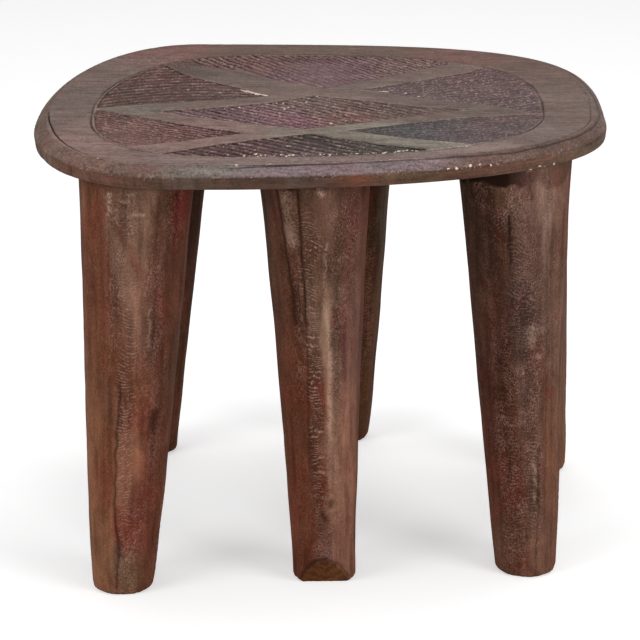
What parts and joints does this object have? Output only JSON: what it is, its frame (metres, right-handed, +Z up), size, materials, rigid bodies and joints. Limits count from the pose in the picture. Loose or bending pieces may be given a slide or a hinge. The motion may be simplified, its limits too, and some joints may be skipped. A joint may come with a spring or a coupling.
{
  "type": "african drum table",
  "caption": "Low carved hardwood stool or side table: a rounded slab seat with carved hatched panels and crossing bands, on tapered hand-cut legs.",
  "frame": {"origin": "on the floor under the middle of the seat (centre of the bounding box's bottom face)", "axes": "+X to the right along the long side of the seat, +Y to the back, +Z up; seen from -Y the three front legs face the viewer"},
  "size_m": [0.558, 0.49, 0.437],
  "materials": {
    "seat_wood": "dark stained hardwood, hand carved, waxed by use, worn",
    "leg_wood": "dark red-brown stained hardwood, knife-cut facets, worn",
    "wedge_wood": "bare split hardwood"
  },
  "bodies": {
    "root": {"seat_slab": "seat_wood", "leg_front_left": "leg_wood", "leg_front_middle": "leg_wood", "leg_front_right": "leg_wood", "leg_back_left": "leg_wood", "leg_back_middle": "leg_wood", "leg_back_right": "leg_wood", "wedge_front_left": "wedge_wood", "wedge_front_middle": "wedge_wood", "wedge_front_right": "wedge_wood", "wedge_back_left": "wedge_wood", "wedge_back_middle": "wedge_wood", "wedge_back_right": "wedge_wood"}
  },
  "joints": []
}
